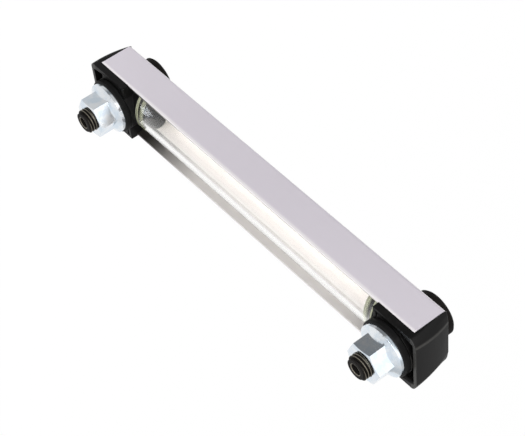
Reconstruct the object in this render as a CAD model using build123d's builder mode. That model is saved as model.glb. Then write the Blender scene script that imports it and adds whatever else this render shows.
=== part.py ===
"""Tank level gauge: a clear oval sight tube held between two moulded end blocks in a
folded sheet shroud, fixed through the tank wall by two hollow bolts with flange nuts.

Frame: +Z up along the tube and +Y into the tank, so the window faces -Y. The origin
lies midway between the two bolts, on the tank wall plane that the seals bear on.
"""
from build123d import *
import os
from math import sqrt

os.makedirs("parts", exist_ok=True)

# ---- driving dimensions, in millimetres; depths run forward from the wall plane ----
bolt_spacing = 200.0
sliding_gap = 0.1           # between pieces that slide together at assembly

# folded sheet shroud
shroud_width = 34.0
shroud_sheet = 1.5
shroud_bend = 0.6           # inner radius of the folds
shroud_front = 24.5
shroud_back = 6.7
shroud_reach = 12.0         # past each bolt axis
window_width = 13.0
window_length = 146.0

# sight tube
tube_width = 26.0
tube_depth = 17.6
tube_wall = 2.5
tube_centre = 13.9          # depth of its axis
tube_inset = 14.2           # from each bolt axis to the end of the tube
tube_edge = 0.3

# moulded end block
block_rim = 3.2             # depth of its back rim
block_crown = 16.7          # where the bowed end face stands out furthest
block_crown_depth = 7.0
block_bow = 49.0            # radius of the end face
block_corner = 3.0
block_front_edge = 0.8
block_inner = 10.0          # reach of its side walls towards the tube
block_wall = 1.8
block_boss_radius = 14.0
pocket_floor = 14.5         # depth of the hollows beside the boss
spigot_length = 6.0
spigot_gap = 0.1
chamber_radius = 7.6        # oil chamber round the cross holes of the bolt
chamber_width = 6.0
passage_radius = 3.5

# hollow bolt, M12
bolt_radius = 6.0
bolt_gap = 0.2
thread_pitch_radius = 5.5   # where the nut is run on
head_radius = 11.0
head_height = 6.0
head_edge = 0.8
socket_flats = 8.0
socket_depth = 4.5
bolt_reach = 15.85          # past the tank wall plane
bolt_end_chamfer = 0.9
oil_bore_radius = 2.75
oil_bore_run = 3.5          # past the cross holes
cross_hole_radius = 2.25
waist_radius = 5.2
waist_width = 7.0

# flange nut, M12
nut_flats = 18.0
nut_height = 12.0
nut_face_radius = 8.4
nut_chamfer_drop = 1.4
nut_flange_radius = 13.0
nut_flange_edge = 1.6
nut_cone_height = 4.0
nut_bore_gap = 0.04
nut_countersink = 0.7
nut_turns = {"top": 24.7, "bottom": 27.8}   # degrees that each nut ended up turned

# rubber parts
seal_neck_radius = 9.0
seal_neck_length = 1.6
seal_edge = 0.5
shank_cord = 1.9            # O-rings round the bolt
shank_ring_depths = {"rear": 8.0, "front": 20.0}
tube_cord = 1.5             # rings inside the ends of the tube
tube_ring_edge = 0.4
tube_ring_inset = 4.4       # from the end of the tube
groove_slack = 0.3
cord_gap = 0.04

# ---- derived ----------------------------------------------------------------------
half_spacing = bolt_spacing / 2
shroud_length = bolt_spacing + 2 * shroud_reach
shroud_inside = shroud_width - 2 * shroud_sheet
web_inside = shroud_front - shroud_sheet
tube_length = bolt_spacing - 2 * tube_inset
bore_width = tube_width - 2 * tube_wall
bore_depth = tube_depth - 2 * tube_wall
groove_root_width = bore_width - 2 * (tube_cord + cord_gap)
groove_root_depth = bore_depth - 2 * (tube_cord + cord_gap)


def wall_plane(side):
    """The tank wall at one bolt: local x across, local y outward past the bolt to the
    end of the gauge, and local z forward, so that a depth is a local z."""
    return Plane(origin=(0, 0, side * half_spacing), x_dir=(side, 0, 0), z_dir=(0, -1, 0))


def side_plane(side, depth=0):
    """The plane of symmetry at one bolt: local x outward, local y forward."""
    wall = wall_plane(side)
    return Plane(origin=wall.offset(depth).origin, x_dir=wall.y_dir, z_dir=wall.x_dir)


def cross_plane(side, inset):
    """A plane square to the tube, inset from one bolt axis, facing the other end."""
    return Plane(origin=(0, -tube_centre, side * (half_spacing - inset)),
                 x_dir=(side, 0, 0), z_dir=(0, 0, -side))


def bolt_axis(side):
    """The axis of one bolt, forward."""
    return Axis((0, 0, side * half_spacing), (0, -1, 0))


# ---- shroud -----------------------------------------------------------------------
with BuildPart() as shroud:
    with BuildSketch(Plane.XY.offset(-shroud_length / 2)):
        with Locations((0, -shroud_front)):
            outline = Rectangle(shroud_width, shroud_front - shroud_back,
                                align=(Align.CENTER, Align.MIN))
        fillet(outline.vertices().group_by(Axis.Y)[0], shroud_bend + shroud_sheet)
    extrude(amount=shroud_length)
    with BuildSketch(Plane.XY.offset(-shroud_length / 2)):
        with Locations((0, -web_inside)):
            hollow = Rectangle(shroud_inside, web_inside - shroud_back,
                               align=(Align.CENTER, Align.MIN))
        fillet(hollow.vertices().group_by(Axis.Y)[0], shroud_bend)
    extrude(amount=shroud_length, mode=Mode.SUBTRACT)
    with BuildSketch(Plane.XZ.offset(shroud_front)):
        SlotOverall(window_length, window_width, rotation=90)
        with Locations((0, half_spacing), (0, -half_spacing)):
            Circle(bolt_radius + bolt_gap)
    extrude(amount=-shroud_sheet, mode=Mode.SUBTRACT)
shroud.part.label = "shroud"
export_step(shroud.part, "parts/shroud.step")

# ---- sight tube -------------------------------------------------------------------
with BuildPart() as sight_tube:
    with BuildSketch(Plane(origin=(0, -tube_centre, -tube_length / 2))):
        Ellipse(tube_width / 2, tube_depth / 2)
        Ellipse(bore_width / 2, bore_depth / 2, mode=Mode.SUBTRACT)
    extrude(amount=tube_length)
    chamfer(sight_tube.faces().filter_by(Axis.Z).edges(), tube_edge)
sight_tube.part.label = "sight_tube"
export_step(sight_tube.part, "parts/sight_tube.step")

for end, side in (("top", 1), ("bottom", -1)):
    wall = wall_plane(side)
    axis = bolt_axis(side)

    # ---- end block ----------------------------------------------------------------
    cap_root = shroud_reach + sliding_gap
    bow_centre = block_crown - block_bow
    cap_rear = bow_centre + sqrt(block_bow**2 - (block_crown_depth - block_rim) ** 2)
    cap_front = bow_centre + sqrt(block_bow**2 - (shroud_front - block_crown_depth) ** 2)
    body_width = shroud_inside - 2 * sliding_gap
    with BuildPart() as end_block:
        # the cap past the shroud, with its bowed end face
        with BuildSketch(side_plane(side)):
            with BuildLine():
                Polyline((cap_front, shroud_front), (cap_root, shroud_front),
                         (cap_root, block_rim), (cap_rear, block_rim))
                ThreePointArc((cap_rear, block_rim), (block_crown, block_crown_depth),
                              (cap_front, shroud_front))
            make_face()
        extrude(amount=shroud_width / 2, both=True)
        fillet(end_block.edges().filter_by(GeomType.CIRCLE), block_corner)
        front_face = end_block.faces().sort_by(Axis.Y)[0]
        fillet(front_face.edges().sort_by_distance(wall.origin)[1:], block_front_edge)
        # the body inside the shroud, and the lip behind the shroud's edges
        for width, depth in ((body_width, web_inside - sliding_gap),
                             (shroud_width, shroud_back - sliding_gap)):
            with BuildSketch(wall.offset(block_rim)):
                with Locations((0, -block_inner)):
                    Rectangle(width, block_inner + cap_root, align=(Align.CENTER, Align.MIN))
            extrude(amount=depth - block_rim)
        front_edges = end_block.edges().filter_by(Axis.Z).filter_by_position(
            Axis.Y, -web_inside, sliding_gap / 2 - web_inside + sliding_gap)
        fillet(front_edges, shroud_bend - sliding_gap)
        # hollows moulded in from the back, round the boss
        with BuildSketch(wall.offset(block_rim)):
            with Locations((0, block_wall - block_inner)):
                Rectangle(body_width - 2 * block_wall, block_inner + cap_rear - 2 * block_wall,
                          align=(Align.CENTER, Align.MIN))
            Circle(block_boss_radius, mode=Mode.SUBTRACT)
        extrude(amount=pocket_floor - block_rim, mode=Mode.SUBTRACT)
        with BuildSketch(wall.offset(block_rim)):
            Circle(block_boss_radius)
        extrude(amount=pocket_floor - block_rim)
        # the neck that the tube butts on, and the spigot inside the tube
        with BuildSketch(cross_plane(side, block_inner)):
            Ellipse(tube_width / 2, tube_depth / 2)
        extrude(amount=tube_inset - block_inner)
        with BuildSketch(cross_plane(side, tube_inset)):
            Ellipse(bore_width / 2 - spigot_gap, bore_depth / 2 - spigot_gap)
        extrude(amount=spigot_length)
        groove_width = tube_cord + groove_slack
        with BuildSketch(cross_plane(side, tube_inset + tube_ring_inset - groove_width / 2)):
            Ellipse(bore_width / 2, bore_depth / 2)
            Ellipse(groove_root_width / 2, groove_root_depth / 2, mode=Mode.SUBTRACT)
        extrude(amount=groove_width, mode=Mode.SUBTRACT)
        # bore for the bolt, with the seal's recess, two ring grooves and the oil chamber
        with BuildSketch(wall.offset(block_rim)):
            Circle(bolt_radius + bolt_gap)
        extrude(amount=web_inside - block_rim, mode=Mode.SUBTRACT)
        with BuildSketch(wall.offset(block_rim)):
            Circle(seal_neck_radius + sliding_gap)
        extrude(amount=seal_neck_length + sliding_gap, mode=Mode.SUBTRACT)
        groove_width = shank_cord + groove_slack
        for ring_place in shank_ring_depths.values():
            with BuildSketch(wall.offset(ring_place - groove_width / 2)):
                Circle(bolt_radius + shank_cord + 2 * cord_gap)
            extrude(amount=groove_width, mode=Mode.SUBTRACT)
        with BuildSketch(wall.offset(tube_centre - chamber_width / 2)):
            Circle(chamber_radius)
        extrude(amount=chamber_width, mode=Mode.SUBTRACT)
        with BuildSketch(cross_plane(side, 0)):
            Circle(passage_radius)
        extrude(amount=tube_inset + spigot_length, mode=Mode.SUBTRACT)
    end_block.part.label = f"end_block_{end}"
    export_step(end_block.part, f"parts/end_block_{end}.step")

    # ---- hollow bolt: profile in radius and depth -----------------------------------
    with BuildPart() as hollow_bolt:
        head_top = shroud_front + head_height
        waist_front = tube_centre + waist_width / 2
        waist_rear = tube_centre - waist_width / 2
        with BuildSketch(Plane(origin=axis.position, x_dir=wall.x_dir, z_dir=-wall.y_dir)):
            with BuildLine():
                Polyline((0, -bolt_reach), (bolt_radius - bolt_end_chamfer, -bolt_reach),
                         (bolt_radius, bolt_end_chamfer - bolt_reach), (bolt_radius, -nut_height),
                         (thread_pitch_radius, -nut_height), (thread_pitch_radius, 0),
                         (bolt_radius, 0), (bolt_radius, waist_rear), (waist_radius, waist_rear),
                         (waist_radius, waist_front), (bolt_radius, waist_front),
                         (bolt_radius, shroud_front), (head_radius, shroud_front),
                         (head_radius, head_top - head_edge), (head_radius - head_edge, head_top),
                         (0, head_top), close=True)
            make_face()
        revolve(axis=axis)
        with BuildSketch(wall.offset(head_top)):
            RegularPolygon(socket_flats / 2, 6, major_radius=False)
        extrude(amount=-socket_depth, mode=Mode.SUBTRACT)
        with BuildSketch(wall.offset(-bolt_reach)):
            Circle(oil_bore_radius)
        extrude(amount=bolt_reach + tube_centre + oil_bore_run, mode=Mode.SUBTRACT)
        for cross in (cross_plane(side, 0), side_plane(side, tube_centre)):
            with BuildSketch(cross):
                Circle(cross_hole_radius)
            extrude(amount=bolt_radius, both=True, mode=Mode.SUBTRACT)
    hollow_bolt.part.label = f"hollow_bolt_{end}"
    export_step(hollow_bolt.part, f"parts/hollow_bolt_{end}.step")

    # ---- flange nut, run up to the seal --------------------------------------------
    with BuildPart() as flange_nut:
        with BuildSketch(wall):
            RegularPolygon(nut_flats / 2, 6, major_radius=False, rotation=nut_turns[end])
        extrude(amount=-nut_height)
        section = Plane(origin=axis.position, x_dir=wall.x_dir, z_dir=-wall.y_dir)
        with BuildSketch(section):
            with BuildLine():
                Polyline((0, 0), (nut_flange_radius, 0),
                         (nut_flange_radius, nut_chamfer_drop - nut_height),
                         (nut_face_radius, -nut_height), (0, -nut_height), close=True)
            make_face()
        revolve(axis=axis, mode=Mode.INTERSECT)
        with BuildSketch(section):
            with BuildLine():
                Polyline((0, 0), (nut_flange_radius, 0), (nut_flange_radius, -nut_flange_edge),
                         (nut_flats / 2, -nut_cone_height), (0, -nut_cone_height), close=True)
            make_face()
        revolve(axis=axis)
        with BuildSketch(section):
            with BuildLine():
                bore = thread_pitch_radius + nut_bore_gap
                Polyline((0, 0), (bore + nut_countersink, 0), (bore, -nut_countersink),
                         (bore, nut_countersink - nut_height), (bore + nut_countersink, -nut_height),
                         (0, -nut_height), close=True)
            make_face()
        revolve(axis=axis, mode=Mode.SUBTRACT)
    flange_nut.part.label = f"flange_nut_{end}"
    export_step(flange_nut.part, f"parts/flange_nut_{end}.step")

    # ---- wall seal: a stepped rubber ring ------------------------------------------
    with BuildPart() as wall_seal:
        with BuildSketch(wall):
            Circle(block_boss_radius)
        extrude(amount=block_rim)
        chamfer(wall_seal.edges().filter_by(GeomType.CIRCLE), seal_edge)
        with BuildSketch(wall.offset(block_rim)):
            Circle(seal_neck_radius)
        extrude(amount=seal_neck_length)
        with BuildSketch(wall):
            Circle(bolt_radius + cord_gap)
        extrude(amount=block_rim + seal_neck_length, mode=Mode.SUBTRACT)
    wall_seal.part.label = f"wall_seal_{end}"
    export_step(wall_seal.part, f"parts/wall_seal_{end}.step")

    # ---- O-rings round the bolt, either side of the oil chamber, with eight flats --
    for place, ring_place in shank_ring_depths.items():
        with BuildPart() as shank_ring:
            with BuildSketch(Plane(origin=axis.position, x_dir=wall.x_dir, z_dir=-wall.y_dir)):
                with Locations((bolt_radius + cord_gap + shank_cord / 2, ring_place)):
                    RegularPolygon(shank_cord / 2, 8, major_radius=False, rotation=22.5)
            revolve(axis=axis)
        shank_ring.part.label = f"shank_ring_{place}_{end}"
        export_step(shank_ring.part, f"parts/shank_ring_{place}_{end}.step")

    # ---- ring between spigot and tube, squeezed flat by its groove ------------------
    with BuildPart() as tube_ring:
        with BuildSketch(cross_plane(side, tube_inset + tube_ring_inset - tube_cord / 2)):
            Ellipse(bore_width / 2 - cord_gap, bore_depth / 2 - cord_gap)
            Ellipse(bore_width / 2 - tube_cord, bore_depth / 2 - tube_cord, mode=Mode.SUBTRACT)
        extrude(amount=tube_cord)
        chamfer(tube_ring.faces().filter_by(Axis.Z).edges(), tube_ring_edge)
    tube_ring.part.label = f"tube_ring_{end}"
    export_step(tube_ring.part, f"parts/tube_ring_{end}.step")
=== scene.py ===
"""Finishes, threads and studio of the tank level gauge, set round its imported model."""
import math

import bpy
from mathutils import Matrix, Vector


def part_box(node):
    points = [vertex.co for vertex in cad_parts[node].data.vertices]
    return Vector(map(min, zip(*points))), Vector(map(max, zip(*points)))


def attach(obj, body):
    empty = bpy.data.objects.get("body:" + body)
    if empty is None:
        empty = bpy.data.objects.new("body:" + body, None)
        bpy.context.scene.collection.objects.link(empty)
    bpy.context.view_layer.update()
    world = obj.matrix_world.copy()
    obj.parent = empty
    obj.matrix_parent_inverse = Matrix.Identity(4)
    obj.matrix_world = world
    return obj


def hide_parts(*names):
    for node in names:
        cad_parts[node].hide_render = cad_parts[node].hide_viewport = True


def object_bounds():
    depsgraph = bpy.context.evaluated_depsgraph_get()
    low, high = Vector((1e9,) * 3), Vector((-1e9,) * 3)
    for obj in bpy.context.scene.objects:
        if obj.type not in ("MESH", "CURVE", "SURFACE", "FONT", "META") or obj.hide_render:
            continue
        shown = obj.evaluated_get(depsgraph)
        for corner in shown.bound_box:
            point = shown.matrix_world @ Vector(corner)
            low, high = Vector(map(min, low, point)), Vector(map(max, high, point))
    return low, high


bl_info = {
    "name": "Tank level gauge",
    "version": (1, 0, 0),
    "blender": (4, 5, 0),
    "location": "View3D > Sidebar > Gauge",
    "description": "Finishes the packed tank level gauge and sets up its studio",
    "category": "Object",
}

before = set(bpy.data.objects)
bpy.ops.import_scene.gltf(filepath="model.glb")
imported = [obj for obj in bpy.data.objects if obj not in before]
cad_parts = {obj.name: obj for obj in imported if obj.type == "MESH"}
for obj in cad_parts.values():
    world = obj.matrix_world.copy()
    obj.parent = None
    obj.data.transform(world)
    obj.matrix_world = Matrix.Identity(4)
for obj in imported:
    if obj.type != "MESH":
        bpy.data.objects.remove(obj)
cad_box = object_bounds()
ENDS = ("top", "bottom")
MM = 0.001

# sizes that the CAD has too, in metres
BOLT_RADIUS = 6.0 * MM
PLAIN_END_RADIUS = 5.5 * MM      # the bolt's free end, which the thread replaces
BORE_RADIUS = 2.75 * MM          # the oil bore in the bolt
CAP_ROOT_GAP = 0.05 * MM         # from the shroud's end to just short of a cap's root

# modelling values, in metres where they are lengths
WELD = 0.002 * MM                # points of a CAD mesh that lie closer become one
ON_CUT = 0.001 * MM              # points that lie closer to a cut are on it
ON_RIM = 0.05 * MM               # points that lie closer to the back rim are on it
HOLLOW_SIDE = (12.0 * MM, 14.0 * MM)    # off the middle, where a block's hollow ends
HOLLOW_PAST_SHROUD = 2.0 * MM    # the most that the hollow runs on past the shroud
CORNER_ROWS = 4                  # rows of edges from a cap's crease to its side
NUT_EDGE_TURN = 24.0             # degrees by which an edge turns before it is rounded
THREAD_FOOT = 0.44               # half the foot of the thread's ridge, in pitches
THREAD_CREST = 0.07              # half its crest, in pitches
THREAD_LEAD = 0.2                # how far before the cut it starts, in pitches
THREAD_STEPS = 48                # faces in one turn of it
THREAD_BURIED = 0.3 * MM         # how deep it reaches into the bolt's core
THREAD_SHORT = 0.05 * MM         # how far it stops short of the bolt's end
CORE_TAPER = 0.985               # width of the core at its end, as a share of its start
BORE_BREAK = 0.3 * MM            # chamfer of the oil bore

# where a finish changes, in millimetres
SKIN = (0.4, 0.7)                # under the shroud's outer faces, from outside to inside
REAR_HIGHLIGHT = (0.4, 1.8)           # in from its rear edges, from painted highlight to plain
PAINTED_SHADE_BAND = (3.7, 5.5)              # the same, from the margin painted darker as shade to the inside
PAINTED_REFLECTION = (-86.0, -40.0)           # up along the margin, from its painted reflection of the bottom block to none
RING_SEAT = (3.4, 3.9, 4.6, 5.6)        # in from the tube's ends, where its ring presses
END_FADE = 0.4                   # width over which the tube's frosting fades
CREASE = 0.3                     # the painted highlight's middle, outside the cap's crease
CREASE_WIDTH = (0.1, 1.0)        # half its width, from painted highlight to plain
BACK_RIM = (0.05, 0.25)          # in from a cap's back, from painted highlight to plain
BACK_RIM_HIGHLIGHT = 0.8              # as a share of a crease's
PAST_SHROUD = (0.8, 1.4)         # from the shroud's end, where a cap's painted highlights start
THREAD_GLINT = (-0.28, -0.05, 0.1, 0.2)   # from the bolt's radius, about the crests, for the painted glint
BORE_GLINT = (0.03, 0.13, 0.30, 0.50)     # from the bore's radius, about its lip, for the painted glint
PAST_WALL = (4.0, 5.0)           # from the tank wall, where a bolt's painted glint starts
FLOOR_GREY = (-60.0, 260.0)      # across the floor, from its white to its grey side


# ---- shader writing ---------------------------------------------------------------
def arithmetic(operation):
    """An operator that adds a Math node, and its reflected form."""
    def plain(self, other):
        return self.finish.maths(operation, self, other)

    def reflected(self, other):
        return self.finish.maths(operation, other, self)

    return plain, reflected


class Value:
    """A socket in a node tree, on which plain arithmetic adds Math nodes."""
    __add__, __radd__ = arithmetic("ADD")
    __sub__, __rsub__ = arithmetic("SUBTRACT")
    __mul__, __rmul__ = arithmetic("MULTIPLY")
    __truediv__, __rtruediv__ = arithmetic("DIVIDE")

    def __init__(self, finish, socket):
        self.finish = finish
        self.socket = socket

    def __abs__(self):
        return self.finish.maths("ABSOLUTE", self)

    def root(self):
        return self.finish.maths("SQRT", self)

    def larger(self, other):
        """The larger of two values."""
        return self.finish.maths("MAXIMUM", self, other)

    def clamped(self):
        return self.finish.node("ShaderNodeClamp", {}, self)

    def between(self, low, high):
        """0 below low, 1 above high, and smooth in between."""
        settings = {"interpolation_type": "SMOOTHSTEP"}
        return self.finish.node("ShaderNodeMapRange", settings, self, low, high)

    def within(self, full, gone):
        """1 below full, 0 above gone, and smooth in between."""
        return 1.0 - self.between(full, gone)

    def band(self, start, full, end, gone):
        """1 from full to end, and 0 below start and above gone."""
        return self.between(start, full) * self.within(end, gone)

    def swing(self, amount):
        """A noise moved to vary about zero, by the amount in all."""
        return (self - 0.5) * amount


class Finish:
    """A material, or the world, written as expressions on node sockets."""

    def __init__(self, owner):
        self.owner = owner
        self.owner.use_nodes = True
        self.tree = self.owner.node_tree
        self.tree.nodes.clear()
        self.coordinates = None

    @classmethod
    def named(cls, name):
        return cls(bpy.data.materials.new(name))

    def plug(self, socket, value):
        """Links a socket to a value, or sets the number or colour on it."""
        if isinstance(value, Value):
            self.tree.links.new(value.socket, socket)
        elif socket.type == "RGBA" and len(value) == 3:
            socket.default_value = (*value, 1.0)
        else:
            socket.default_value = value

    def node(self, kind, settings, *values, output=None, **named):
        """Adds a node: its settings first, then the values or links of its sockets, in
        their order or by name. It gives the first output, or the one that is named."""
        made = self.tree.nodes.new(kind)
        for key, value in settings.items():
            setattr(made, key, value)
        sockets = [socket for socket in made.inputs if socket.enabled]
        for socket, value in zip(sockets, values):
            self.plug(socket, value)
        for key, value in named.items():
            title = key.replace("_", " ")
            self.plug(next(socket for socket in sockets if socket.name == title), value)
        outputs = (socket for socket in made.outputs
                   if socket.enabled and output in (None, socket.name))
        return Value(self, next(outputs, None))

    def maths(self, operation, *operands):
        return self.node("ShaderNodeMath", {"operation": operation}, *operands)

    def at(self, scale=(1.0, 1.0, 1.0)):
        """Object coordinates in millimetres, stretched by a Mapping node."""
        if self.coordinates is None:
            self.coordinates = self.node("ShaderNodeTexCoord", {}, output="Object")
        factors = tuple(part / MM for part in scale)
        return self.node("ShaderNodeMapping", {}, self.coordinates, Scale=factors)

    def along(self, letter):
        """One object coordinate, in millimetres."""
        return self.node("ShaderNodeSeparateXYZ", {}, self.at(), output=letter)

    def noise(self, grain, detail=3.0, stretch=(1.0, 1.0, 1.0), rough=0.55):
        """Noise with blotches about grain metres across, longer along an axis whose
        stretch is less than 1."""
        place = self.at(tuple(part / (grain / MM) for part in stretch))
        return self.node("ShaderNodeTexNoise", {}, place, Scale=1.0, Detail=detail,
                         Roughness=rough)

    def blend(self, factor, first, second):
        """The first colour where the factor is 0, and the second where it is 1."""
        return self.node("ShaderNodeMix", {"data_type": "RGBA"}, factor, first, second)

    def bump(self, height, depth, strength=1.0, under=None):
        """A Bump node, with the height's full swing given in millimetres."""
        named = {"Normal": under} if under is not None else {}
        return self.node("ShaderNodeBump", {}, Strength=strength, Distance=depth * MM,
                         Height=height, **named)

    def surface(self, **sockets):
        """Ends the material in a shader with its sockets by name."""
        return self.out(self.node("ShaderNodeBsdfPrincipled", {}, **sockets))

    def out(self, shader):
        """Ends the material or world in a shader, and gives it back."""
        kind = "World" if isinstance(self.owner, bpy.types.World) else "Material"
        self.node(f"ShaderNodeOutput{kind}", {}, Surface=shader)
        return self.owner


# ---- modelling helpers ------------------------------------------------------------
def deselect():
    if bpy.context.object and bpy.context.object.mode != "OBJECT":
        bpy.ops.object.mode_set(mode="OBJECT")
    bpy.ops.object.select_all(action="DESELECT")


def make_active(piece):
    deselect()
    piece.select_set(True)
    bpy.context.view_layer.objects.active = piece


def merged_copy(node, name):
    """A copy of a CAD node with its own mesh, its loose triangles merged."""
    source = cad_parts[node]
    piece = source.copy()
    piece.data = source.data.copy()
    piece.name = piece.data.name = name
    piece.parent = None
    for key in [key for key in piece.keys() if key.startswith("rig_")]:
        del piece[key]
    bpy.context.scene.collection.objects.link(piece)
    make_active(piece)
    if piece.data.has_custom_normals:
        bpy.ops.mesh.customdata_custom_splitnormals_clear()
    bpy.ops.object.mode_set(mode="EDIT")
    bpy.ops.mesh.select_all(action="SELECT")
    bpy.ops.mesh.remove_doubles(threshold=WELD)
    bpy.ops.mesh.select_all(action="DESELECT")
    bpy.ops.object.mode_set(mode="OBJECT")
    return piece


def cut_across(piece, point, normal, **settings):
    """Cuts a loop of edges through a piece, where a plane meets it."""
    make_active(piece)
    bpy.ops.object.mode_set(mode="EDIT")
    bpy.ops.mesh.select_all(action="SELECT")
    bpy.ops.mesh.bisect(plane_co=point, plane_no=normal, **settings)
    bpy.ops.object.mode_set(mode="OBJECT")


def finish_modifier(piece, kind, name, **settings):
    """Adds a modifier to a piece and applies it."""
    make_active(piece)
    added = piece.modifiers.new(name, kind)
    for key, value in settings.items():
        setattr(added, key, value)
    bpy.ops.object.modifier_apply(modifier=added.name)


def apply_place(piece):
    make_active(piece)
    bpy.ops.object.transform_apply(location=True, rotation=True, scale=True)


def smooth(piece, degrees):
    """Shades a piece smooth, apart from edges that turn by more than the angle."""
    make_active(piece)
    bpy.ops.object.shade_smooth_by_angle(angle=math.radians(degrees))


def even_flats(piece, weight):
    """Turns the shading of rounded edges towards the flat faces beside them."""
    finish_modifier(piece, "WEIGHTED_NORMAL", "Flats", weight=weight, keep_sharp=True)


def paint(piece, material):
    piece.data.materials.clear()
    piece.data.materials.append(material)


def paint_node(node, material):
    """Gives a CAD node its finish through its object's own slots."""
    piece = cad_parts[node]
    for place in piece.material_slots:
        place.link = "OBJECT"
        place.material = material


def place_piece(piece, node):
    """Hides the CAD node that a finished piece stands in for, and attaches the piece to
    the root body.
    """
    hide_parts(node)
    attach(piece, "root")


def axis_of(end):
    """The height of one bolt's axis, from its node."""
    low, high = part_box(f"hollow_bolt_{end}")
    return (low[2] + high[2]) / 2


def box_in_mm(node):
    """The low and the high corner of a CAD node, in millimetres."""
    return [[part / MM for part in corner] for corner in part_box(node)]


# ---- sizes and colours -------------------------------------------------------------
def number_property(name, description, default, **settings):
    return bpy.props.FloatProperty(name=name, description=description, default=default,
                                   **settings)


def length_property(name, description, default):
    """A length, whose default is given in millimetres."""
    return number_property(name, description, default * MM, min=0.0, unit="LENGTH",
                           subtype="DISTANCE")


def factor_property(name, description, default):
    return number_property(name, description, default, min=0.0, max=1.0,
                           subtype="FACTOR")


def angle_property(name, description, default):
    """An angle, whose default is given in degrees."""
    return number_property(name, description, math.radians(default), subtype="ANGLE")


def colour_property(name, description, default):
    return bpy.props.FloatVectorProperty(name=name, description=description, size=3,
                                         subtype="COLOR", min=0.0, max=1.0,
                                         default=default)


class SheetSettings(bpy.types.PropertyGroup):
    colour: colour_property("Colour", "Colour of the anodised sheet", (0.595, 0.56, 0.61))
    shade: colour_property("Shade", "Colour of its duller patches", (0.565, 0.53, 0.58))
    # painted light: the inside's colour is painted bright, standing in for light inside
    # the channel
    inside: colour_property("Inside", "Colour of the sheet's inside", (0.97, 0.94, 0.93))
    # painted shade: the margins behind the tube are painted darker
    margin: colour_property("Margin", "Colour of its duller margins", (0.52, 0.50, 0.485))
    # painted reflection: the margins' bottom end is painted dark, as the dark bottom block
    # mirrored
    painted_reflection: colour_property("Stain", "Colour of their stained end", (0.02, 0.017, 0.015))
    # painted highlight: the rear edges are blended towards the inside's bright colour
    rear_highlight: factor_property("Rear edge", "How much it looks like the inside", 0.45)
    metal_inside: factor_property("Metal inside", "How metallic the inside is", 0.2)
    metal_outside: factor_property("Metal outside", "How metallic the rest is", 0.45)
    roughness: factor_property("Roughness", "How satin the sheet is", 0.42)
    grain: length_property("Grain", "Width of the rolled grain", 0.22)
    cloud: length_property("Cloud", "Size of its faint patches", 26.0)


class TubeSettings(bpy.types.PropertyGroup):
    tint: colour_property("Tint", "Colour that the clear tube gives to light",
                          (0.995, 0.99, 0.98))
    frost: colour_property("Frost", "Colour of its frosting", (0.62, 0.64, 0.46))
    frost_ends: factor_property("Frosted ends", "How frosted its turned ends are", 0.5)
    frost_seat: factor_property("Frosted seat", "How frosted it is at its ring", 0.3)
    frosted: length_property("Frosted", "Length of its turned ends", 0.7)
    lines: length_property("Lines", "Width of its draw lines", 1.6)
    roughness: factor_property("Roughness", "How much the drawn tube blurs", 0.03)
    index: number_property("Refraction", "Index of refraction", 1.49, min=1.0, max=2.5)


class BlockSettings(bpy.types.PropertyGroup):
    colour: colour_property("Colour", "Colour of the moulded plastic",
                            (0.0025, 0.0024, 0.0024))
    scuffed: colour_property("Scuffed", "Colour of its duller patches",
                             (0.006, 0.0055, 0.0054))
    # painted highlight colour for the top cap's creases and the back rims
    painted_highlight: colour_property("Worn", "Colour of its rubbed edges", (0.035, 0.034, 0.032))
    roughness: factor_property("Roughness", "How matte the moulding is", 0.46)
    specular: factor_property("Specular", "How strongly it mirrors", 0.15)
    grain: length_property("Grain", "Size of the moulded texture", 0.35)
    patches: length_property("Patches", "Size of its duller patches", 9.0)
    edge: length_property("Edge", "Rounding that its edges show", 0.35)
    shoulder_rear: length_property("Rear shoulder", "Where the top cap's corner starts, "
                                   "at the back", 12.6)
    shoulder_front: length_property("Front shoulder", "Where the top cap's corner "
                                    "starts, in front", 9.8)
    corner_rear: factor_property("Rear corner", "How much of the top cap's corner is "
                                 "left, at the back", 0.65)
    corner_front: factor_property("Front corner", "How much of the top cap's corner is "
                                  "left, in front", 0.15)
    rim: length_property("Rim", "Half width of the hollow at the back rim", 15.7)


class BoltSettings(bpy.types.PropertyGroup):
    pitch: length_property("Pitch", "Pitch of the thread", 1.5)
    depth: length_property("Depth", "Depth of the thread", 0.92)
    cut: length_property("Cut", "Where the threaded end starts past the wall", 11.2)
    chamfer: length_property("Chamfer", "Chamfer on the end of the thread", 0.9)
    colour: colour_property("Colour", "Colour of the phosphated steel",
                            (0.005, 0.0045, 0.0042))
    oiled: colour_property("Oiled", "Colour of its lighter patches",
                           (0.012, 0.0105, 0.0095))
    # painted glint colour for the thread's crests and the bore's lip
    painted_glint: colour_property("Rubbed", "Colour where it has rubbed", (0.22, 0.20, 0.16))
    metallic: factor_property("Metallic", "How metallic it is where rubbed", 0.8)
    roughness: factor_property("Roughness", "How matte the phosphate is", 0.52)
    specular: factor_property("Specular", "How strongly it mirrors", 0.04)
    grain: length_property("Grain", "Size of its crystals", 0.25)
    patches: length_property("Patches", "Size of its lighter patches", 3.0)


class NutSettings(bpy.types.PropertyGroup):
    edge: length_property("Edge", "Rounding of the nut's edges", 0.22)
    colour: colour_property("Colour", "Colour of the zinc plate", (0.80, 0.83, 0.86))
    blue: colour_property("Blue", "Colour of its bluer patches", (0.66, 0.74, 0.82))
    roughness: factor_property("Roughness", "How dull the plating is", 0.17)
    grain: length_property("Grain", "Size of the plating's grain", 0.3)
    patches: length_property("Patches", "Size of its bluer patches", 5.0)


class RubberSettings(bpy.types.PropertyGroup):
    colour: colour_property("Colour", "Colour of the rubber", (0.006, 0.006, 0.006))
    bloom: colour_property("Bloom", "Colour of the bloom on it", (0.011, 0.011, 0.011))
    roughness: factor_property("Roughness", "How matte the rubber is", 0.5)
    specular: factor_property("Specular", "How strongly it mirrors", 0.06)
    grain: length_property("Grain", "Size of its texture", 0.3)
    patches: length_property("Patches", "Size of the bloom's patches", 4.0)


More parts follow.
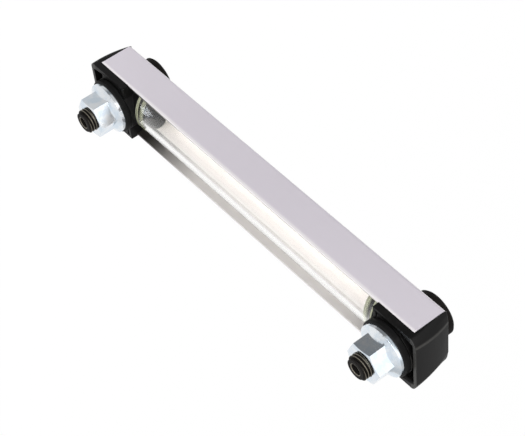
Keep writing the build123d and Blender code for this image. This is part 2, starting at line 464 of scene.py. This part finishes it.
class StageSettings(bpy.types.PropertyGroup):
    drop: length_property("Drop", "How far under the gauge the floor lies", 60.0)
    floor: colour_property("Floor", "Colour of the floor", (0.9, 0.9, 0.9))
    speckle: colour_property("Speckle", "Colour of its speckle", (0.88, 0.88, 0.88))
    white: factor_property("White", "How white the camera sees the floor", 0.97)
    grey_side: factor_property("Grey side", "How grey one side of the floor mirrors",
                               0.76)
    key: number_property("Key", "Strength of the lamp into the channel", 3.35,
                         unit="POWER")
    fill: number_property("Fill", "Strength of the overhead lamp", 1.8, unit="POWER")
    sky: factor_property("Sky", "Light from all round", 0.62)
    soft_box: number_property("Soft box", "Added light from behind the gauge", 0.4,
                              min=0.0)
    front_box: number_property("Front box", "Added light from over its front", 0.7,
                               min=0.0)
    bearing: angle_property("Bearing", "Where the camera stands", 116.57)
    height: angle_property("Height", "How far up the camera stands", 33.92)
    tilt: angle_property("Tilt", "Turn of the camera on its line", 131.11)
    reach: length_property("Reach", "From the aim to the camera", 766.0)
    aim: bpy.props.FloatVectorProperty(name="Aim", description="What the camera looks at",
                                       size=3, unit="LENGTH", subtype="XYZ",
                                       default=(0.0, -0.0090, 0.0073))
    lens: number_property("Lens", "Focal length in millimetres", 116.1, min=1.0)


SETTINGS = {
    "gauge_sheet": SheetSettings,
    "gauge_tube": TubeSettings,
    "gauge_block": BlockSettings,
    "gauge_bolt": BoltSettings,
    "gauge_nut": NutSettings,
    "gauge_rubber": RubberSettings,
    "gauge_stage": StageSettings,
}


# ---- finishes -----------------------------------------------------------------------
def anodised_sheet(sheet):
    """Satin aluminium with a fine grain along the fold and faint cloudy patches. Its
    inside is painted bright as light inside the channel, with a painted highlight along
    its rear edges, apart from margins behind the tube painted darker as shade, which are
    painted darker still towards the bottom as a reflection of the dark bottom block."""
    finish = Finish.named("anodised_sheet")
    low, high = box_in_mm("shroud")
    sides = (high[0] - abs(finish.along("X"))).within(*SKIN)
    front = (finish.along("Y") - low[1]).within(*SKIN)
    outside = sides.larger(front)
    grain = finish.noise(sheet.grain, detail=2.0, stretch=(1.0, 1.0, 0.02))
    cloud = finish.noise(sheet.cloud, detail=2.0, stretch=(1.0, 1.0, 0.4))
    shaded = (cloud * 0.8 + grain * 0.3 - 0.05).clamped()
    from_rear = high[1] - finish.along("Y")
    outer = finish.blend(shaded, sheet.colour, sheet.shade)
    # painted highlight along the rear edges
    outer = finish.blend(from_rear.within(*REAR_HIGHLIGHT) * sheet.rear_highlight, outer,
                         sheet.inside)
    # painted reflection of the dark bottom block, darker towards the bottom
    margin = finish.blend(finish.along("Z").within(*PAINTED_REFLECTION), sheet.margin, sheet.painted_reflection)
    # the inside painted bright as light inside the channel, with its margin behind the
    # tube painted darker as shade
    inner = finish.blend(from_rear.within(*PAINTED_SHADE_BAND), sheet.inside, margin)
    more_metal = sheet.metal_outside - sheet.metal_inside
    return finish.surface(
        Base_Color=finish.blend(outside, inner, outer),
        Metallic=sheet.metal_inside + outside * more_metal,
        Roughness=sheet.roughness + grain.swing(0.12) + cloud.swing(0.06),
        Normal=finish.bump(grain, depth=0.006),
    )


def clear_tube(tube):
    """Drawn clear plastic, faintly yellow, with soft draw lines along it, frosted where
    its ends are turned and where its rings press. Lamps shine straight through it, so
    that what lies behind it is lit."""
    finish = Finish.named("clear_tube")
    lines = finish.noise(tube.lines, detail=2.0, stretch=(1.0, 1.0, 0.01))
    plastic = finish.node(
        "ShaderNodeBsdfPrincipled", {},
        Base_Color=tube.tint,
        Roughness=tube.roughness + lines.swing(0.03),
        IOR=tube.index,
        Transmission_Weight=1.0,
        Normal=finish.bump(lines, depth=0.004, strength=0.2),
    )
    end = box_in_mm("sight_tube")[1][2]
    inward = end - abs(finish.along("Z"))
    turned = inward.within(tube.frosted / MM, tube.frosted / MM + END_FADE)
    frosted = turned * tube.frost_ends + inward.band(*RING_SEAT) * tube.frost_seat
    frost = finish.node("ShaderNodeBsdfDiffuse", {}, tube.frost)
    plastic = finish.node("ShaderNodeMixShader", {}, frosted, plastic, frost)
    shadow = finish.node("ShaderNodeLightPath", {}, output="Is Shadow Ray")
    passed = finish.node("ShaderNodeBsdfTransparent", {}, tube.tint)
    return finish.out(finish.node("ShaderNodeMixShader", {}, shadow, plastic, passed))


def shoulder_at(block, forward):
    """Where the corner of a cap starts off its middle: at the back for a forward of 0,
    and in front for 1."""
    return block.shoulder_rear + (block.shoulder_front - block.shoulder_rear) * forward


def moulded_plastic(block):
    """Black moulding with a fine spark-eroded texture, duller patches and softly rounded
    edges, with painted highlights in a lighter colour on the creases of the top cap and
    the back rim of both."""
    finish = Finish.named("moulded_plastic")
    grain = finish.noise(block.grain, detail=4.0, rough=0.7)
    scuffed = finish.noise(block.patches).between(0.42, 0.72)
    rounded = finish.node("ShaderNodeBevel", {"samples": 8}, Radius=block.edge)
    black = finish.blend(scuffed, block.colour, block.scuffed)
    low, high = box_in_mm("shroud")
    back = box_in_mm("end_block_top")[1][1]
    from_back = back - finish.along("Y")
    shoulder = shoulder_at(block, from_back / (back - low[1])) / MM
    crease = abs(abs(finish.along("X")) - shoulder - CREASE).within(*CREASE_WIDTH)
    on_top = finish.along("Z").between(0.0, 1.0)
    rim = from_back.within(*BACK_RIM) * BACK_RIM_HIGHLIGHT
    on_caps = (abs(finish.along("Z")) - high[2]).between(*PAST_SHROUD)
    # painted highlights along the top cap's creases and the back rims
    painted_highlight = ((crease * on_top).larger(rim) * on_caps * (0.6 + grain * 0.6)).clamped()
    return finish.surface(
        Base_Color=finish.blend(painted_highlight, black, block.painted_highlight),
        Roughness=block.roughness + grain.swing(0.16) + scuffed * 0.05 - painted_highlight * 0.08,
        Specular_IOR_Level=block.specular,
        Normal=finish.bump(grain, depth=0.015, strength=0.4, under=rounded),
    )


def phosphated_steel(bolt):
    """Black phosphate with a faint oil sheen, and a painted grey highlight on the crests
    of the thread and on the lip of the oil bore."""
    finish = Finish.named("phosphated_steel")
    grain = finish.noise(bolt.grain)
    patches = finish.noise(bolt.patches, detail=2.0)
    across = finish.along("X")
    aside = abs(finish.along("Z")) - abs(axis_of("top")) / MM
    radius = (across * across + aside * aside).root()
    crest = (radius - BOLT_RADIUS / MM).band(*THREAD_GLINT)
    lip = (radius - BORE_RADIUS / MM).band(*BORE_GLINT)
    free_end = finish.along("Y").between(*PAST_WALL)
    # painted glint: grey, metallic colour on the thread's crests and the bore's lip
    painted_glint = crest.larger(lip) * free_end * (0.4 + grain * 0.8).clamped()
    black = finish.blend(patches, bolt.colour, bolt.oiled)
    rough = bolt.roughness + grain.swing(0.2) + patches.swing(0.1)
    return finish.surface(
        Base_Color=finish.blend(painted_glint, black, bolt.painted_glint),
        Metallic=painted_glint * bolt.metallic,
        Roughness=rough - painted_glint * 0.16,
        Specular_IOR_Level=bolt.specular,
        Normal=finish.bump(grain, depth=0.01),
    )


def zinc_plate(nut):
    """Bright blue-passivated zinc, slightly mottled."""
    finish = Finish.named("zinc_plate")
    mottle = finish.noise(nut.patches)
    grain = finish.noise(nut.grain, detail=4.0, rough=0.65)
    return finish.surface(
        Base_Color=finish.blend(mottle.between(0.35, 0.65), nut.colour, nut.blue),
        Metallic=1.0,
        Roughness=nut.roughness + mottle.swing(0.12) + grain.swing(0.08),
        Normal=finish.bump(grain, depth=0.012, strength=0.6),
    )


def sealing_rubber(rubber):
    """Matte rubber with a little bloom."""
    finish = Finish.named("sealing_rubber")
    grain = finish.noise(rubber.grain)
    bloom = finish.noise(rubber.patches, detail=2.0).between(0.5, 0.8)
    return finish.surface(
        Base_Color=finish.blend(bloom, rubber.colour, rubber.bloom),
        Roughness=rubber.roughness + grain.swing(0.15) + bloom * 0.1,
        Specular_IOR_Level=rubber.specular,
        Normal=finish.bump(grain, depth=0.02, strength=0.5),
    )


# ---- pieces ---------------------------------------------------------------------------
class GAUGE_OT_shroud(bpy.types.Operator):
    """Finish the folded sheet shroud in satin anodised aluminium"""
    bl_idname = "gauge.shroud"
    bl_label = "Finish the shroud"

    def execute(self, context):
        paint_node("shroud", anodised_sheet(context.scene.gauge_sheet))
        return {"FINISHED"}


class GAUGE_OT_tube(bpy.types.Operator):
    """Finish the clear sight tube"""
    bl_idname = "gauge.tube"
    bl_label = "Finish the sight tube"

    def execute(self, context):
        paint_node("sight_tube", clear_tube(context.scene.gauge_tube))
        return {"FINISHED"}


def cap_edges(end):
    """Where a cap has its side, its back, its front and its root."""
    low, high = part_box("shroud")
    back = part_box(f"end_block_{end}")[1][1]
    return high[0], back, low[1], high[2] + CAP_ROOT_GAP


def cut_corner_rows(piece, block, side, back, front):
    """Cuts the rows of edges along which the corners of the top cap fall away."""
    for row in range(CORNER_ROWS):
        outward = row / CORNER_ROWS
        at_back = block.shoulder_rear + (side - block.shoulder_rear) * outward
        at_front = block.shoulder_front + (side - block.shoulder_front) * outward
        normal = Vector((back - front, at_front - at_back, 0.0)).normalized()
        for hand in (1, -1):
            cut_across(piece, (hand * at_back, back, 0.0),
                       (hand * normal.x, normal.y, 0.0), threshold=ON_CUT)


def widen_hollow(piece, block, back, root):
    """Moves the sides of a block's hollow outwards at its back rim."""
    for vertex in piece.data.vertices:
        place = vertex.co
        on_rim = abs(place.y - back) < ON_RIM
        on_side = HOLLOW_SIDE[0] < abs(place.x) < HOLLOW_SIDE[1]
        if on_rim and on_side and abs(place.z) < root + HOLLOW_PAST_SHROUD:
            place.x = math.copysign(block.rim, place.x)


def drop_corners(piece, block, side, back, front, root):
    """Lets the top cap fall away from its shoulders to its corners."""
    for vertex in piece.data.vertices:
        place = vertex.co
        beyond = place.z - root
        forward = (back - place.y) / (back - front)
        start = shoulder_at(block, forward)
        if beyond > 0.0 and abs(place.x) > start:
            fall = (abs(place.x) - start) / (side - start)
            kept = block.corner_rear + (block.corner_front - block.corner_rear) * forward
            place.z -= beyond * fall * (1.0 - kept)


def shaped_block(block, end):
    """The CAD end block with its drafted hollow, and the top one with the sloping
    corners of its cap."""
    piece = merged_copy(f"end_block_{end}", f"shaped_block_{end}")
    side, back, front, root = cap_edges(end)
    if end == "top":
        cut_corner_rows(piece, block, side, back, front)
    widen_hollow(piece, block, back, root)
    if end == "top":
        drop_corners(piece, block, side, back, front, root)
    smooth(piece, degrees=20.0)
    even_flats(piece, weight=80)
    return piece


class GAUGE_OT_blocks(bpy.types.Operator):
    """Shape the two end blocks and finish them in black moulded plastic"""
    bl_idname = "gauge.blocks"
    bl_label = "Make the end blocks"

    def execute(self, context):
        block = context.scene.gauge_block
        plastic = moulded_plastic(block)
        for end in ENDS:
            piece = shaped_block(block, end)
            paint(piece, plastic)
            place_piece(piece, f"end_block_{end}")
        return {"FINISHED"}


class GAUGE_OT_rubber(bpy.types.Operator):
    """Finish the wall seals and the sealing rings in black rubber"""
    bl_idname = "gauge.rubber"
    bl_label = "Finish the rubber parts"

    def execute(self, context):
        rubber = sealing_rubber(context.scene.gauge_rubber)
        for end in ENDS:
            for part in ("wall_seal", "shank_ring_front", "shank_ring_rear", "tube_ring"):
                paint_node(f"{part}_{end}", rubber)
        return {"FINISHED"}


def taper_ridge(ridge, bolt, core, length):
    """Runs the end of a thread's ridge out under the cone of the bolt's chamfer."""
    for vertex in ridge.data.vertices:
        place = vertex.co
        out = math.hypot(place.x, place.y)
        limit = BOLT_RADIUS - max(0.0, place.z - (length - bolt.chamfer))
        limit = max(limit, core - THREAD_BURIED)
        if out > limit:
            place.x *= limit / out
            place.y *= limit / out
        place.z = min(place.z, length - THREAD_SHORT)


def thread_ridge(bolt, reach, z):
    """A helical ridge from inside the nut to the chamfered end of the bolt."""
    core = BOLT_RADIUS - bolt.depth
    foot = bolt.pitch * THREAD_FOOT
    crest = bolt.pitch * THREAD_CREST
    profile = [(core - THREAD_BURIED, -foot), (core, -foot), (BOLT_RADIUS, -crest),
               (BOLT_RADIUS, crest), (core, foot), (core - THREAD_BURIED, foot)]
    deselect()
    bpy.ops.mesh.primitive_circle_add(vertices=len(profile), radius=1.0,
                                      location=(0, 0, 0))
    ridge = bpy.context.object
    ridge.name = "thread_ridge"
    for vertex, (out, height) in zip(ridge.data.vertices, profile):
        vertex.co = (out, 0.0, height)
    start = bolt.cut - THREAD_LEAD * bolt.pitch
    turns = (reach - start - foot / 2) / bolt.pitch
    steps = int(THREAD_STEPS * turns)
    finish_modifier(ridge, "SCREW", "Helix", axis="Z", angle=2 * math.pi * turns,
                    screw_offset=bolt.pitch * turns, steps=steps, render_steps=steps,
                    use_merge_vertices=False)
    # the ridge's ends are closed
    bpy.ops.object.mode_set(mode="EDIT")
    bpy.ops.mesh.select_all(action="DESELECT")
    bpy.ops.mesh.select_mode(type="EDGE")
    bpy.ops.mesh.select_non_manifold()
    bpy.ops.mesh.edge_face_add()
    bpy.ops.mesh.select_all(action="SELECT")
    bpy.ops.mesh.normals_make_consistent(inside=False)
    bpy.ops.object.mode_set(mode="OBJECT")
    taper_ridge(ridge, bolt, core, reach - start)
    # local z turns to +Y, and the ridge moves to its bolt
    turn = Matrix.Rotation(-math.pi / 2, 4, "X")
    ridge.matrix_world = Matrix.Translation((0.0, start, z)) @ turn
    apply_place(ridge)
    return ridge


def open_rings(piece, z):
    """Indices of the open edges round the bolt's bore and round its outside."""
    bpy.ops.object.mode_set(mode="OBJECT")
    mesh = piece.data
    split = (BORE_RADIUS + PLAIN_END_RADIUS) / 2
    uses = {}
    for polygon in mesh.polygons:
        for key in polygon.edge_keys:
            uses[key] = uses.get(key, 0) + 1
    rings = {"bore": [], "outside": []}
    for edge in mesh.edges:
        if uses.get(edge.key, 0) == 1:
            place = mesh.vertices[edge.vertices[0]].co
            in_bore = math.hypot(place.x, place.z - z) < split
            rings["bore" if in_bore else "outside"].append(edge.index)
    return rings


def select_edges(piece, indices):
    bpy.ops.object.mode_set(mode="EDIT")
    bpy.ops.mesh.select_mode(type="EDGE")
    bpy.ops.mesh.select_all(action="DESELECT")
    bpy.ops.object.mode_set(mode="OBJECT")
    for index in indices:
        piece.data.edges[index].select = True
    bpy.ops.object.mode_set(mode="EDIT")


def extrude_ring(forward, scale, centre):
    """Extrudes the selected ring along the bolt and scales it about a point."""
    move = {"value": (0.0, forward, 0.0)}
    bpy.ops.mesh.extrude_region_move(TRANSFORM_OT_translate=move)
    if scale != 1.0:
        bpy.ops.transform.resize(value=(scale, 1.0, scale), center_override=centre)


def threaded_bolt(bolt, end):
    """The CAD bolt with its plain free end remade with a cut thread."""
    node = f"hollow_bolt_{end}"
    piece = merged_copy(node, f"threaded_bolt_{end}")
    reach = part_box(node)[1][1]
    z = axis_of(end)
    cut_at, tip = (0.0, bolt.cut, z), (0.0, reach, z)
    cut_across(piece, cut_at, (0.0, 1.0, 0.0), clear_outer=True, use_fill=False)
    # the core under the thread
    select_edges(piece, open_rings(piece, z)["outside"])
    extrude_ring(0.0, (BOLT_RADIUS - bolt.depth) / PLAIN_END_RADIUS, cut_at)
    extrude_ring(reach - bolt.cut, CORE_TAPER, tip)
    # the oil bore, with its edge broken
    select_edges(piece, open_rings(piece, z)["bore"])
    extrude_ring(reach - bolt.cut - BORE_BREAK, 1.0, tip)
    extrude_ring(BORE_BREAK, (BORE_RADIUS + BORE_BREAK) / BORE_RADIUS, tip)
    # the end face between the two
    rings = open_rings(piece, z)
    select_edges(piece, rings["bore"] + rings["outside"])
    bpy.ops.mesh.bridge_edge_loops()
    bpy.ops.mesh.select_all(action="SELECT")
    bpy.ops.mesh.normals_make_consistent(inside=False)
    ridge = thread_ridge(bolt, reach, z)
    make_active(piece)
    ridge.select_set(True)
    bpy.ops.object.join()
    smooth(piece, degrees=32.0)
    return piece


class GAUGE_OT_bolts(bpy.types.Operator):
    """Cut the threads of the two hollow bolts and finish them in black phosphate"""
    bl_idname = "gauge.bolts"
    bl_label = "Make the hollow bolts"

    def execute(self, context):
        bolt = context.scene.gauge_bolt
        steel = phosphated_steel(bolt)
        for end in ENDS:
            piece = threaded_bolt(bolt, end)
            paint(piece, steel)
            place_piece(piece, f"hollow_bolt_{end}")
        return {"FINISHED"}


class GAUGE_OT_nuts(bpy.types.Operator):
    """Round the edges of the two flange nuts and finish them in bright zinc"""
    bl_idname = "gauge.nuts"
    bl_label = "Make the flange nuts"

    def execute(self, context):
        nut = context.scene.gauge_nut
        plate = zinc_plate(nut)
        for end in ENDS:
            piece = merged_copy(f"flange_nut_{end}", f"rounded_nut_{end}")
            finish_modifier(piece, "BEVEL", "Edges", width=nut.edge, segments=2,
                            limit_method="ANGLE",
                            angle_limit=math.radians(NUT_EDGE_TURN))
            smooth(piece, degrees=28.0)
            even_flats(piece, weight=90)
            paint(piece, plate)
            place_piece(piece, f"flange_nut_{end}")
        return {"FINISHED"}


# ---- studio ---------------------------------------------------------------------------
def add_lamp(name, place, target, size, power):
    """A round area lamp that faces its target."""
    deselect()
    bpy.ops.object.light_add(type="AREA", location=place)
    lamp = bpy.context.object
    lamp.name = lamp.data.name = name
    lamp.data.shape = "DISK"
    lamp.data.size = size
    lamp.data.energy = power
    lamp.rotation_mode = "QUATERNION"
    facing = Vector(target) - Vector(place)
    lamp.rotation_quaternion = facing.to_track_quat("-Z", "Y")


def add_camera(stage):
    """Stands the camera off its aim, and turns it on its own line of sight."""
    across = math.cos(stage.height)
    back = Vector((math.sin(stage.bearing) * across, -math.cos(stage.bearing) * across,
                   math.sin(stage.height)))
    deselect()
    bpy.ops.object.camera_add(location=Vector(stage.aim) + back * stage.reach)
    camera = bpy.context.object
    camera.name = camera.data.name = "camera"
    level = (-back).to_track_quat("-Z", "Y").to_matrix()
    camera.rotation_euler = (level @ Matrix.Rotation(stage.tilt, 3, "Z")).to_euler()
    camera.data.lens = stage.lens
    camera.data.sensor_width = 36.0
    camera.data.clip_start = 0.01
    bpy.context.scene.camera = camera


def add_floor(stage):
    """A pale floor, which the camera sees nearly white and with the gauge's shadow, and
    which metal mirrors white on one side and greyer on the other."""
    level = cad_box[0][2] - stage.drop
    deselect()
    bpy.ops.mesh.primitive_plane_add(size=8.0, location=(0, 0, level))
    floor = bpy.context.object
    floor.name = "floor"
    apply_place(floor)
    finish = Finish.named("pale_floor")
    pale = finish.blend(finish.noise(2.0 * MM), stage.floor, stage.speckle)
    matt = finish.node("ShaderNodeBsdfDiffuse", {}, pale)
    camera_ray, glossy, through = (
        finish.node("ShaderNodeLightPath", {}, output=f"Is {kind} Ray")
        for kind in ("Camera", "Glossy", "Transmission"))
    mirrored = 1.0 - finish.along("X").between(*FLOOR_GREY) * stage.grey_side
    strength = 1.0 + glossy * (mirrored - 1.0)
    glow = finish.node("ShaderNodeEmission", {}, (1.0, 1.0, 1.0), strength)
    own_light = (camera_ray * stage.white + glossy + through).clamped()
    look = finish.node("ShaderNodeMixShader", {}, own_light, matt, glow)
    paint(floor, finish.out(look))


def add_sky(stage):
    """White where it is seen, with soft boxes behind the gauge and over its front."""
    world = bpy.context.scene.world or bpy.data.worlds.new("studio")
    bpy.context.scene.world = world
    finish = Finish(world)
    ray = finish.node("ShaderNodeTexCoord", {}, output="Generated")

    def box_towards(direction, start, full):
        """A soft box, by the cosine of the angle at which it starts and is full."""
        cosine = finish.node("ShaderNodeVectorMath", {"operation": "DOT_PRODUCT"}, ray,
                             Vector(direction).normalized())
        return cosine.between(start, full)

    level = stage.sky \
        + box_towards((0.15, 0.75, 0.65), start=0.20, full=0.90) * stage.soft_box \
        + box_towards((0.30, -0.40, 0.87), start=0.80, full=0.96) * stage.front_box
    for ray_kind in ("Is Transmission Ray", "Is Camera Ray"):
        seen = finish.node("ShaderNodeLightPath", {}, output=ray_kind)
        level = level + seen * (1.0 - level)
    finish.out(finish.node("ShaderNodeBackground", {}, (1.0, 1.0, 1.0), level))


class GAUGE_OT_stage(bpy.types.Operator):
    """Set up the floor, the soft lights and the camera"""
    bl_idname = "gauge.stage"
    bl_label = "Set up the studio"

    def execute(self, context):
        stage = context.scene.gauge_stage
        context.scene.view_settings.view_transform = "Standard"
        add_floor(stage)
        add_lamp("overhead", place=(0.40, 0.10, 0.48), target=(0, 0, 0.10), size=0.4,
                 power=stage.fill)
        add_lamp("into_channel", place=(0.46, 0.52, 0.26), target=(0, 0, 0), size=0.5,
                 power=stage.key)
        add_sky(stage)
        add_camera(stage)
        return {"FINISHED"}


STEPS = [GAUGE_OT_shroud, GAUGE_OT_tube, GAUGE_OT_blocks, GAUGE_OT_rubber, GAUGE_OT_bolts,
         GAUGE_OT_nuts, GAUGE_OT_stage]


class GAUGE_PT_pieces(bpy.types.Panel):
    """The gauge's pieces, in the order in which they are made"""
    bl_idname = "GAUGE_PT_pieces"
    bl_label = "Tank level gauge"
    bl_space_type = "VIEW_3D"
    bl_region_type = "UI"
    bl_category = "Gauge"

    def draw(self, context):
        for step in STEPS:
            self.layout.operator(step.bl_idname)
        for name, group in SETTINGS.items():
            box = self.layout.box()
            box.label(text=group.__name__.replace("Settings", ""))
            for key in group.__annotations__:
                box.prop(getattr(context.scene, name), key)


def register():
    for kind in [*SETTINGS.values(), *STEPS, GAUGE_PT_pieces]:
        bpy.utils.register_class(kind)
    for name, group in SETTINGS.items():
        setattr(bpy.types.Scene, name, bpy.props.PointerProperty(type=group))


def unregister():
    for name in SETTINGS:
        delattr(bpy.types.Scene, name)
    for kind in reversed([*SETTINGS.values(), *STEPS, GAUGE_PT_pieces]):
        bpy.utils.unregister_class(kind)


def main():
    register()
    bpy.ops.gauge.shroud()
    bpy.ops.gauge.tube()
    bpy.ops.gauge.blocks()
    bpy.ops.gauge.rubber()
    bpy.ops.gauge.bolts()
    bpy.ops.gauge.nuts()
    bpy.ops.gauge.stage()


if __name__ == "__main__":
    main()
